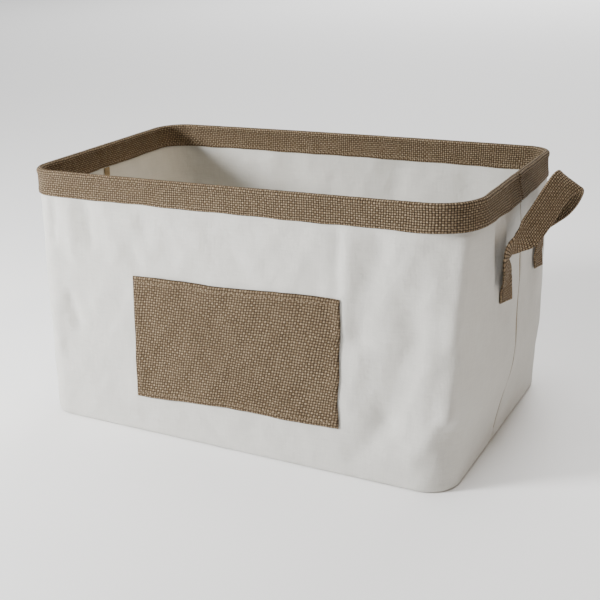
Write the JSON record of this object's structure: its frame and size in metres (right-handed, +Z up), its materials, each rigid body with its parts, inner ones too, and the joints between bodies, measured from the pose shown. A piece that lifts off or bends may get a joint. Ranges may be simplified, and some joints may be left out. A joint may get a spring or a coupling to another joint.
{
  "type": "fabric storage bin",
  "caption": "Soft rectangular storage bin of off-white canvas with a brown jute band at the rim, a plain jute patch on the front and a jute strap handle on each end.",
  "frame": {"origin": "middle of the bottom's underside, on the surface the bin stands on", "axes": "+X along the long side towards the right end as the front is seen, -Y towards the front with the patch, +Z up"},
  "size_m": [0.5178, 0.2532, 0.2236],
  "materials": {
    "canvas": "matte",
    "jute": "matte",
    "seam_tape": "matte",
    "thread": "matte",
    "board": "matte",
    "steel": "satin"
  },
  "bodies": {
    "bin": {"front_panel": "canvas", "back_panel": "canvas", "base_panel": "canvas", "base_lining": "canvas", "trim_front": "jute", "trim_back": "jute", "label_patch": "jute", "handle_right_tab_front": "jute", "handle_right_tab_back": "jute", "handle_left_tab_front": "jute", "handle_left_tab_back": "jute", "end_seam_binding_right": "seam_tape", "end_seam_binding_left": "seam_tape", "base_seam_binding": "seam_tape", "label_patch_stitching": "thread", "trim_stitching_outer": "thread", "trim_stitching_inner": "thread", "handle_right_stitching_front": "thread", "handle_right_stitching_back": "thread", "handle_left_stitching_front": "thread", "handle_left_stitching_back": "thread", "base_board": "board", "rim_wire": "steel", "rim_wire_ferrule": "steel"},
    "handle_right": {"handle_right_loop": "jute"},
    "handle_left": {"handle_left_loop": "jute"}
  },
  "joints": [
    {"name": "handle_right_swing", "type": "hinge", "parent": "bin", "child": "handle_right", "pos_m": [0.2062, 0, 0.1452], "axis": [0, 1, 0], "range_deg": [-2.5, 125]},
    {"name": "handle_left_swing", "type": "hinge", "parent": "bin", "child": "handle_left", "pos_m": [-0.2007, 0, 0.1466], "axis": [0, -1, 0], "range_deg": [-37.5, 89]}
  ]
}
